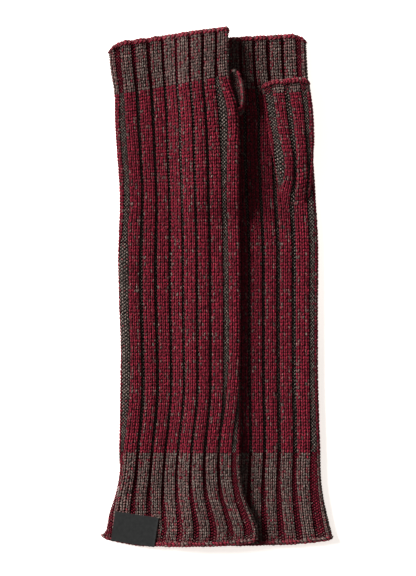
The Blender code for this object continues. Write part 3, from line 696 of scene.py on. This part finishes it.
def wool(name, main_is_crimson, on_stitches):
    """Woollen yarn, plated crimson with heather grey: matt, with a soft halo of fibres and a mottled colour."""
    material = new_material(name)
    place = add_node(material, "ShaderNodeTexCoord").outputs["Object"]
    # A heather yarn changes colour every millimetre or so along the strand.
    mottle = add_node(material, "ShaderNodeTexNoise", Vector=place, Scale=900.0, Detail=2.0, Roughness=0.6)
    drift = add_node(material, "ShaderNodeTexNoise", Vector=place, Scale=45.0, Detail=2.0)
    # Behind the stitches the wall shows the plating's other yarn, darkened to between 0.15 and 0.6 of its colour:
    # painted shade between and behind the stitches.
    yarn = 1.0 if main_is_crimson else 0.0
    darkest, lightest = (0.5, 1.5) if on_stitches else ((0.15, 0.4) if main_is_crimson else (0.22, 0.6))
    fleck = map_range(material, mottle.outputs["Fac"], 0.36, 0.64)
    if on_stitches:
        yarn = add_node(material, "ShaderNodeAttribute", {"attribute_name": "yarn"}).outputs["Fac"]
        # The other yarn comes up in flecks within a strand.
        patch = add_node(material, "ShaderNodeTexNoise", Vector=place, Scale=1100.0, Detail=1.0)
        patch = map_range(material, patch.outputs["Fac"], 0.35, 0.65, -0.3, 0.3)
        clamped_sum = {"operation": "ADD", "use_clamp": True}
        yarn = add_node(material, "ShaderNodeMath", clamped_sum, _0=yarn, _1=patch).outputs[0]
        tone = add_node(material, "ShaderNodeAttribute", {"attribute_name": "tone"}).outputs["Fac"]
    else:
        tone = drift.outputs["Fac"]
    grey = mix_colours(material, fleck, linear("#2E2523"), linear("#7C7068"))
    crimson = mix_colours(material, fleck, linear("#4A0A17"), linear("#861E31"))
    both = mix_colours(material, yarn, crimson, grey)
    lightness = map_range(material, tone, 0.0, 1.0, darkest, lightest)
    toned = mix_colours(material, 1.0, both, lightness, "MULTIPLY")
    fibres = add_node(material, "ShaderNodeTexNoise", Vector=place, Scale=2600.0, Detail=3.0, Roughness=0.7)
    bump = add_node(material, "ShaderNodeBump", Strength=0.5, Distance=0.0002, Height=fibres.outputs["Fac"])
    matt = {"Roughness": 0.92, "Specular_IOR_Level": 0.12, "Sheen_Weight": 0.03, "Sheen_Roughness": 0.5}
    return finish_cloth(material, toned, bump, **matt)


def woven_label():
    """Polyester damask: a flat, faintly shiny black weave with a fine rib across."""
    material = new_material("black_polyester_damask")
    place = add_node(material, "ShaderNodeTexCoord").outputs["Object"]
    turned = add_node(material, "ShaderNodeMapping", Vector=place)
    turned.inputs["Rotation"].default_value = (0.0, 0.0, -LABEL_TURN)
    # Weft threads lie 0.4 mm apart, coarser than real damask so that they show.
    weft = add_node(
        material,
        "ShaderNodeTexWave",
        {"wave_type": "BANDS", "bands_direction": "Y"},
        Vector=turned.outputs[0],
        Scale=785.0,
        Distortion=0.6,
        Detail=1.0,
    )
    fleck = add_node(material, "ShaderNodeTexNoise", Vector=place, Scale=520.0, Detail=3.0)
    colour = mix_colours(material, fleck.outputs["Fac"], linear("#010202"), linear("#272827"))
    bump = add_node(material, "ShaderNodeBump", Strength=0.35, Distance=0.00015, Height=weft.outputs["Fac"])
    return finish_cloth(material, colour, bump, Roughness=0.7, Specular_IOR_Level=0.4, Sheen_Weight=0.06)


# --- The warmers -------------------------------------------------------------

# How often the other yarn comes up, for each leg across a rib, from its left edge to its right.
PLATING = (0.22, 0.34, 0.05, 0.05, 0.26, 0.16)
# How often a purl shows both yarns, and how grey it and the others are in a crimson stretch.
PURL_CHANCE = 0.12
PURL_GREYS = (0.4, 1.1)
PURL_TONES = {"crimson": 0.95, "grey": 0.6}
HEM_GREY_SHARE = 0.35
RIM_GREY_SHARE = 0.08


def in_hole(ring, x, y, margin):
    across = np.abs(x - ring.x) / (ring.long_x + SEAM_GAP + margin)
    along = np.abs(y - ring.y) / (-ring.short_y + SEAM_GAP + margin)
    return across**THUMB_SQUARENESS + along**THUMB_SQUARENESS < 1.0


def stitch_yarns(scatter, wale_in_rib, leg, is_crimson):
    """Which yarn each strand shows, from 0, crimson, to 1, grey."""
    chance = np.array(PLATING)[wale_in_rib * 2 + leg]
    other = scatter.random(len(chance)) < chance
    if is_crimson:
        return np.where(other, scatter.uniform(0.1, 0.8, len(chance)), scatter.uniform(-0.3, -0.1, len(chance)))
    return 1.0 - np.where(other, scatter.uniform(0.3, 1.0, len(chance)), scatter.uniform(0.0, 0.3, len(chance)))


def tones(scatter, count, middle=0.5, spread=0.17):
    return np.clip(scatter.normal(middle, spread, count), 0.0, 1.0)


def lay_stretch(
    name,
    surface,
    first,
    courses,
    first_wale,
    wale_count,
    is_crimson,
    keep,
    material,
    pitch,
    seed,
    mixed=0,
    middle=0.5,
):
    """The stitches of a stretch, over some of its wales, as one piece."""
    scatter = np.random.default_rng(seed)
    all_wales = np.arange(first_wale, first_wale + wale_count)
    wale, course = np.meshgrid(all_wales, np.arange(first, first + courses))
    wale, course = wale.reshape(-1), course.reshape(-1)
    place, outward = sample(surface, wale + 0.5, course + 0.5)
    kept = keep(place, outward)
    wale, course = wale[kept], course[kept]
    in_repeat = wale % REPEAT
    knit = in_repeat >= PURL_WALES
    strands, yarns, tone = [], [], []
    for leg, strand in enumerate(KNIT_LEGS):
        strands.append(lay_strands(surface, wale[knit] + 0.5, course[knit] + 0.5, strand, scatter, pitch))
        yarn = stitch_yarns(scatter, in_repeat[knit] - PURL_WALES, leg, is_crimson)
        yarns.append(np.where(course[knit] < mixed, scatter.uniform(0.1, 1.0, len(yarn)), yarn))
        tone.append(tones(scatter, knit.sum(), middle))
    # In an open trough each purl is laid as two bumps.
    open_trough = np.isin(wale // REPEAT, surface.open_troughs)
    halves = (PURL_BUMP.from_wale / 2, PURL_BUMP.to_wale / 2)
    left_bump = PURL_BUMP._replace(from_wale=halves[0] - HALF_BUMP_SHIFT, to_wale=halves[1] - HALF_BUMP_SHIFT)
    right_bump = PURL_BUMP._replace(from_wale=halves[0] + HALF_BUMP_SHIFT, to_wale=halves[1] + HALF_BUMP_SHIFT)
    purls = (
        (~open_trough & (wale % 2 == 0), PURL_BUMP, False),
        (~open_trough & (wale % 2 == 1), PURL_BUMP, True),
        (open_trough, left_bump, False),
        (open_trough, right_bump, True),
    )
    for chosen, strand, mirrored in purls:
        sloped = ~knit & chosen
        if mirrored:
            strand = strand._replace(from_course=strand.to_course + 0.5, to_course=strand.from_course + 0.5)
        strands.append(lay_strands(surface, wale[sloped] + 0.5, course[sloped] + 0.5, strand, scatter, pitch))
        amount = np.where(scatter.random(sloped.sum()) < PURL_CHANCE, *PURL_GREYS)
        amount = amount if is_crimson else 0.9 - amount
        yarns.append(np.where(course[sloped] < mixed, scatter.uniform(0.1, 1.0, len(amount)), amount))
        tone.append(tones(scatter, sloped.sum(), PURL_TONES["crimson" if is_crimson else "grey"], 0.2))
    return strands_piece(name, strands, yarns, tone, material)


def edge_chain(name, surface, course, outwards, grey_share, material, pitch, seed, thickness=1.0, middle=0.6):
    """The bound-off edge: a chain of slanting stitches along a rim."""
    scatter = np.random.default_rng(seed)
    wale = np.arange(surface.wales)
    edge = np.full(len(wale), float(course))
    strands, yarns, tone = [], [], []
    for strand in EDGE_CHAIN:
        strand = strand._replace(
            from_course=strand.from_course * outwards,
            to_course=strand.to_course * outwards,
            width=strand.width * thickness,
            thick=strand.thick * thickness,
        )
        strands.append(lay_strands(surface, wale + 0.5, edge, strand, scatter, pitch))
        grey = scatter.random(len(wale)) < grey_share
        yarns.append(np.where(grey, scatter.uniform(0.5, 1.0, len(wale)), 0.05))
        tone.append(tones(scatter, len(wale), middle, 0.12))
    return strands_piece(name, strands, yarns, tone, material)


def everywhere(place, outward):
    return np.ones(len(place), dtype=bool)


def mouth_lining(surface):
    """The inside of the left thumb's lower wall, which its mouth shows: a patch across the rim."""
    rim = surface.inner[-1]
    half = len(rim) // 2
    near, far = rim[:half], rim[half:][::-1]
    wales = half // WALE_SAMPLES
    share = np.linspace(0.0, 1.0, LINING_COURSES * COURSE_SAMPLES + 1)[:, None, None]
    places = mix(near[None], far[None], share)
    places[:, :, 2] -= LINING_DEPTHS[0] + LINING_DEPTHS[1] * np.sin(np.pi * share[:, :, 0] ** 0.7)
    outward = np.zeros_like(places)
    outward[:, :, 2] = 1.0
    outward = outward_directions(places, outward)
    return Surface(places, places, outward, wales, LINING_COURSES, LINING_OPEN_TROUGHS)


def build_warmer(warmer, hole_ring, hole_up, wools):
    surface = warmer_surface(warmer)
    side = warmer.side
    front = FRONT_RIBS * REPEAT + REPEAT

    def outside_hole(place, outward):
        on_panel = outward[:, 2] * hole_up > 0.3
        return ~(on_panel & in_hole(hole_ring, place[:, 0], place[:, 1], -1.6))

    hole_height = LAID_ON + OVER_THUMB + FOLD_RADIUS if hole_up < 0 else FOLD_RADIUS

    def face_in_hole(centre):
        on_panel = centre.z > hole_height if hole_up > 0 else centre.z < hole_height
        return on_panel and in_hole(hole_ring, centre.x, centre.y, 0.5)

    first = 0
    for number, stretch in enumerate(warmer.stretches):
        crimson = stretch.main == "crimson"
        name = f"{side}_{stretch.name}"
        is_arm = stretch.name == "arm"
        rows = (first * COURSE_SAMPLES, (first + stretch.courses) * COURSE_SAMPLES)
        hole = face_in_hole if is_arm else None
        wall = cloth_wall(f"{name}_cloth", surface, *rows, hole, wools[stretch.main, "wall"])
        keep = outside_hole if is_arm else everywhere
        material = wools[stretch.main, "stitches"]
        for part, start, count in (("front", 0, front), ("back", front, surface.wales - front)):
            piece = lay_stretch(
                f"{name}_{part}_stitches",
                surface,
                first,
                stretch.courses,
                start,
                count,
                crimson,
                keep,
                material,
                TUBE_PITCH,
                [number, len(side), start],
                HEM_MIXED if stretch.name == "elbow_cuff" else 0,
            )
        if stretch.name == "elbow_cuff":
            look = (HEM_GREY_SHARE, material, TUBE_PITCH, HEM_SEED)
            edge_chain(f"{side}_hem_chain", surface, 0, -1, *look)
        if stretch.name == "hand_band":
            look = (RIM_GREY_SHARE, material, TUBE_PITCH, RIM_SEED)
            edge_chain(f"{side}_rim_chain", surface, surface.courses, 1, *look)
        declare(name)
        first += stretch.courses


def declare(node):
    """Hides the part's own mesh of this name, which the pieces here stand in for."""
    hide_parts(node)


def build_thumb(side, rings, base_z, up, rib_rise, wools):
    courses = THUMB_COURSES[side]
    surface = thumb_surface(rings, base_z, up, rib_rise, courses, THUMB_CORNER_DROPS[side])
    node = f"{side}_thumb"
    band = THUMB_BAND_COURSES
    rows = (0, courses * COURSE_SAMPLES)
    wall = cloth_wall(f"{node}_cloth", surface, *rows, None, wools["crimson", "wall"])
    # The thumb's wales start in the middle of a side rib, so its repeats are counted from there.
    turned = [np.roll(grid, THUMB_FIRST_COLUMN, axis=1) for grid in surface[:3]]
    shifted = Surface(*turned, *surface[3:])
    tube = courses - band
    for part, first, count, crimson in (("tube", 0, tube, True), ("band", tube, band, False)):
        material = wools["crimson" if crimson else "grey", "stitches"]
        piece = lay_stretch(
            f"{node}_{part}_stitches",
            shifted,
            first,
            count,
            0,
            surface.wales,
            crimson,
            everywhere,
            material,
            THUMB_PITCH,
            [THUMB_SEED, len(side), first],
        )
    grey_share, *look = THUMB_CHAINS[side]
    yarn = (grey_share, wools["grey", "stitches"], THUMB_PITCH, THUMB_RIM_SEED)
    edge_chain(f"{node}_rim_chain", shifted, courses, 1, *yarn, *look)
    if side == "left":
        lining = mouth_lining(surface)
        # The lining's stitches are darker than the others: painted shade in the mouth.
        lay_stretch(
                f"{node}_mouth_stitches",
                lining,
                0,
                lining.courses,
                0,
                lining.wales - 1,
                True,
                everywhere,
                wools["grey", "stitches"],
                LINING_PITCH,
                LINING_SEED,
                lining.courses,
                LINING_PAINTED_SHADE_TONE,
            )
    declare(node)


def build_label():
    """The label: a thin flat sheet that follows how high the left cuff lies."""
    bm = bmesh.new()
    bmesh.ops.create_grid(bm, x_segments=LABEL_CELLS[0], y_segments=LABEL_CELLS[1], size=0.5)
    cos, sin = math.cos(LABEL_TURN), math.sin(LABEL_TURN)
    for vert in bm.verts:
        x, y = vert.co.x * LABEL_LENGTH, vert.co.y * LABEL_HEIGHT
        x, y = LABEL_CENTRE[0] + x * cos - y * sin, LABEL_CENTRE[1] + x * sin + y * cos
        lift = float(left_lift(np.array(x), np.array(y)))
        vert.co = (x * MM, y * MM, (PANEL_TOP + LAY_GAP + lift + LABEL_TOP) * MM)
    sheet = list(bm.faces)
    lifted = bmesh.ops.extrude_face_region(bm, geom=sheet)
    lower = [piece for piece in lifted["geom"] if isinstance(piece, bmesh.types.BMVert)]
    bmesh.ops.translate(bm, vec=(0.0, 0.0, -LABEL_THICKNESS * MM), verts=lower)
    bmesh.ops.recalc_face_normals(bm, faces=bm.faces)
    label = finish_piece("woven_label", mesh_from(bm, "woven_label"), woven_label())
    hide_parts("label")


# --- The studio --------------------------------------------------------------


# The paper glows: painted light that keeps it white and leaves only faint shadows on it. It glows a little less
# towards the elbow's end: between these places, by this much glow.
PAPER_GRADE = (-0.06, 0.06)
PAPER_GLOW = (0.78, 0.98)
WORLD_STRENGTH = 0.16
KEY_ENERGY = 7.4
KEY_SIZE = math.radians(28.0)
KEY_ELEVATION, KEY_AZIMUTH = math.radians(23.5), math.radians(155.0)
FOCAL_LENGTH = 200.0
CAMERA_PLACE = (-6.75 * MM, -0.375 * MM, 2.405)


def build_floor():
    bm = bmesh.new()
    bmesh.ops.create_grid(bm, x_segments=1, y_segments=1, size=2.0)
    mesh = mesh_from(bm, "floor")
    material = new_material("white_paper_painted_glow")
    shader = add_node(material, "ShaderNodeBsdfPrincipled", Base_Color=linear("#F7F6F4"), Roughness=0.9)
    place = add_node(material, "ShaderNodeTexCoord").outputs["Object"]
    along = add_node(material, "ShaderNodeSeparateXYZ", Vector=place).outputs["Y"]
    light = map_range(material, along, *PAPER_GRADE, *PAPER_GLOW)
    # The paper's painted glow is warm, so the faint shadows left on it are warm.
    shader.inputs["Emission Color"].default_value = (1.0, 0.94, 0.89, 1.0)
    material.node_tree.links.new(light, shader.inputs["Emission Strength"])
    add_node(material, "ShaderNodeOutputMaterial", Surface=shader.outputs[0])
    mesh.materials.append(material)
    floor = bpy.data.objects.new("floor", mesh)
    bpy.context.scene.collection.objects.link(floor)


def build_studio():
    scene = bpy.context.scene
    scene.view_settings.view_transform = "Standard"
    world = bpy.data.worlds.new("studio")
    world.use_nodes = True
    world.node_tree.nodes["Background"].inputs["Color"].default_value = (1.0, 0.99, 0.97, 1.0)
    world.node_tree.nodes["Background"].inputs["Strength"].default_value = WORLD_STRENGTH
    scene.world = world
    key = bpy.data.lights.new("key", "SUN")
    key.energy = KEY_ENERGY
    key.angle = KEY_SIZE
    lamp = bpy.data.objects.new("key", key)
    level = math.cos(KEY_ELEVATION)
    direction = (level * math.cos(KEY_AZIMUTH), level * math.sin(KEY_AZIMUTH), math.sin(KEY_ELEVATION))
    lamp.rotation_mode = "QUATERNION"
    lamp.rotation_quaternion = Vector(direction).to_track_quat("Z", "Y")
    scene.collection.objects.link(lamp)
    lens = bpy.data.cameras.new("camera")
    lens.lens = FOCAL_LENGTH
    lens.sensor_width = 36.0
    lens.clip_end = 20.0
    camera = bpy.data.objects.new("camera", lens)
    camera.location = CAMERA_PLACE
    scene.collection.objects.link(camera)
    scene.camera = camera


def main():
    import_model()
    wools = {
        ("crimson", "stitches"): wool("crimson_wool_plated_grey", True, True),
        ("grey", "stitches"): wool("grey_heather_wool_plated_crimson", False, True),
        # The walls' wool is darkened: painted shade behind the stitches.
        ("crimson", "wall"): wool("grey_wool_behind_crimson", True, False),
        ("grey", "wall"): wool("crimson_wool_behind_grey", False, False),
    }
    build_warmer(LEFT, LEFT_THUMB_RINGS[0], -1, wools)
    build_warmer(RIGHT, RIGHT_THUMB_RINGS[0], 1, wools)
    build_thumb("left", LEFT_THUMB_RINGS, LAID_ON, -1, 0.0, wools)
    build_thumb("right", RIGHT_THUMB_RINGS, RIGHT_THUMB_BASE, 1, RIB_RISE, wools)
    build_label()
    build_floor()
    build_studio()
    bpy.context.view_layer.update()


main()
